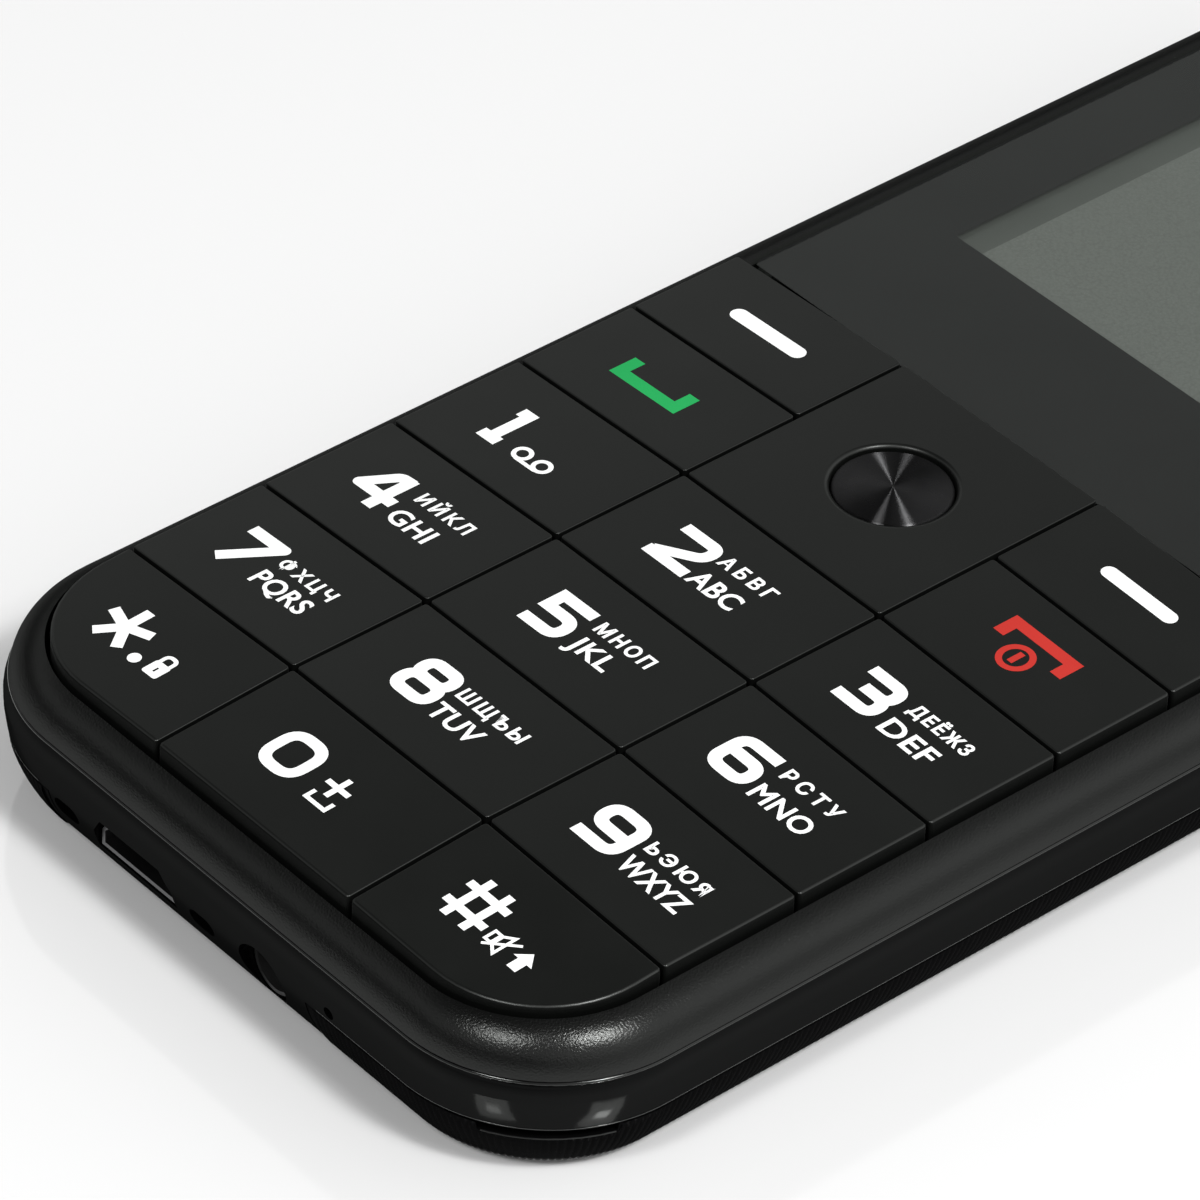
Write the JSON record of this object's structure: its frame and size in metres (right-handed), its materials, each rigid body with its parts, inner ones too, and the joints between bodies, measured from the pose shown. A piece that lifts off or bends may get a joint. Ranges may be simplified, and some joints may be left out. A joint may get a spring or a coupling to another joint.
{
  "type": "feature phone",
  "caption": "Bar-shaped feature phone with a large flat keypad, a rocking navigation plate round an OK key, a display and end ports.",
  "frame": {"origin": "middle of the back face the phone lies on", "axes": "+Z out of the display, +Y towards the earpiece, +X to the right seen from the front"},
  "size_m": [0.0592, 0.1374, 0.0131],
  "materials": {
    "bezel": "fine matte texture",
    "side_band": "high gloss",
    "cover": "matte with a finely ribbed edge",
    "lens": "clear window printed dark at the back",
    "keys": "soft matte with printed marks",
    "ok_metal": "dark spun metal",
    "silicone": "moulded silicone",
    "steel": "plated sheet",
    "board": "solder mask",
    "lcd": "switched-off display",
    "capsule": "moulded",
    "camera_glass": "clear window",
    "flash": "clear light guide",
    "jack": "moulded",
    "battery": "wrapped cell",
    "contacts": "gold plated"
  },
  "bodies": {
    "phone": {"front_housing": "bezel", "side_frame": "side_band", "display_lens": "lens", "micro_usb_socket": "steel", "headphone_jack": "jack", "keypad_mat": "silicone", "dome_sheet": "steel", "main_board": "board", "shield_cans": "steel", "lcd_module": "lcd", "earpiece": "capsule", "loudspeaker": "capsule", "vibration_motor": "steel", "microphone": "steel", "camera_module": "capsule", "flash_led": "flash", "sim_socket": "steel", "memory_socket": "steel", "battery": "battery", "battery_contacts": "contacts", "case_screws": "steel"},
    "soft_key_left": {"soft_key_left": "keys"},
    "soft_key_right": {"soft_key_right": "keys"},
    "call_key": {"call_key": "keys"},
    "end_key": {"end_key": "keys"},
    "key_1": {"key_1": "keys"},
    "key_2": {"key_2": "keys"},
    "key_3": {"key_3": "keys"},
    "key_4": {"key_4": "keys"},
    "key_5": {"key_5": "keys"},
    "key_6": {"key_6": "keys"},
    "key_7": {"key_7": "keys"},
    "key_8": {"key_8": "keys"},
    "key_9": {"key_9": "keys"},
    "key_star": {"key_star": "keys"},
    "key_0": {"key_0": "keys"},
    "key_hash": {"key_hash": "keys"},
    "ok_key": {"ok_key": "ok_metal"},
    "nav_ring": {"nav_ring": "silicone"},
    "nav_plate": {"nav_plate": "keys"},
    "battery_cover": {"battery_cover": "cover", "camera_window": "camera_glass"}
  },
  "joints": [
    {"name": "soft_key_left_press", "type": "slide", "parent": "phone", "child": "soft_key_left", "axis": [0, 0, -1], "range_m": [0, 0.0003], "stiffness_N_per_m": 6700},
    {"name": "soft_key_right_press", "type": "slide", "parent": "phone", "child": "soft_key_right", "axis": [0, 0, -1], "range_m": [0, 0.0003], "stiffness_N_per_m": 6700},
    {"name": "call_key_press", "type": "slide", "parent": "phone", "child": "call_key", "axis": [0, 0, -1], "range_m": [0, 0.0003], "stiffness_N_per_m": 6700},
    {"name": "end_key_press", "type": "slide", "parent": "phone", "child": "end_key", "axis": [0, 0, -1], "range_m": [0, 0.0003], "stiffness_N_per_m": 6700},
    {"name": "key_1_press", "type": "slide", "parent": "phone", "child": "key_1", "axis": [0, 0, -1], "range_m": [0, 0.0003], "stiffness_N_per_m": 6700},
    {"name": "key_2_press", "type": "slide", "parent": "phone", "child": "key_2", "axis": [0, 0, -1], "range_m": [0, 0.0003], "stiffness_N_per_m": 6700},
    {"name": "key_3_press", "type": "slide", "parent": "phone", "child": "key_3", "axis": [0, 0, -1], "range_m": [0, 0.0003], "stiffness_N_per_m": 6700},
    {"name": "key_4_press", "type": "slide", "parent": "phone", "child": "key_4", "axis": [0, 0, -1], "range_m": [0, 0.0003], "stiffness_N_per_m": 6700},
    {"name": "key_5_press", "type": "slide", "parent": "phone", "child": "key_5", "axis": [0, 0, -1], "range_m": [0, 0.0003], "stiffness_N_per_m": 6700},
    {"name": "key_6_press", "type": "slide", "parent": "phone", "child": "key_6", "axis": [0, 0, -1], "range_m": [0, 0.0003], "stiffness_N_per_m": 6700},
    {"name": "key_7_press", "type": "slide", "parent": "phone", "child": "key_7", "axis": [0, 0, -1], "range_m": [0, 0.0003], "stiffness_N_per_m": 6700},
    {"name": "key_8_press", "type": "slide", "parent": "phone", "child": "key_8", "axis": [0, 0, -1], "range_m": [0, 0.0003], "stiffness_N_per_m": 6700},
    {"name": "key_9_press", "type": "slide", "parent": "phone", "child": "key_9", "axis": [0, 0, -1], "range_m": [0, 0.0003], "stiffness_N_per_m": 6700},
    {"name": "key_star_press", "type": "slide", "parent": "phone", "child": "key_star", "axis": [0, 0, -1], "range_m": [0, 0.0003], "stiffness_N_per_m": 6700},
    {"name": "key_0_press", "type": "slide", "parent": "phone", "child": "key_0", "axis": [0, 0, -1], "range_m": [0, 0.0003], "stiffness_N_per_m": 6700},
    {"name": "key_hash_press", "type": "slide", "parent": "phone", "child": "key_hash", "axis": [0, 0, -1], "range_m": [0, 0.0003], "stiffness_N_per_m": 6700},
    {"name": "ok_key_press", "type": "slide", "parent": "phone", "child": "ok_key", "axis": [0, 0, -1], "range_m": [0, 0.0003], "stiffness_N_per_m": 6700},
    {"name": "nav_tilt_up_down", "type": "hinge", "parent": "phone", "child": "nav_ring", "pos_m": [0, -0.01218, 0.00965], "axis": [1, 0, 0], "range_deg": [-1.5, 1.5], "stiffness_Nm_per_rad": 0.5},
    {"name": "nav_tilt_left_right", "type": "hinge", "parent": "nav_ring", "child": "nav_plate", "pos_m": [0, -0.01218, 0.00965], "axis": [0, 1, 0], "range_deg": [-1.5, 1.5], "stiffness_Nm_per_rad": 0.5},
    {"name": "cover_pull_off", "type": "slide", "parent": "phone", "child": "battery_cover", "axis": [0, 0, -1], "range_m": [0, 0.015]}
  ]
}
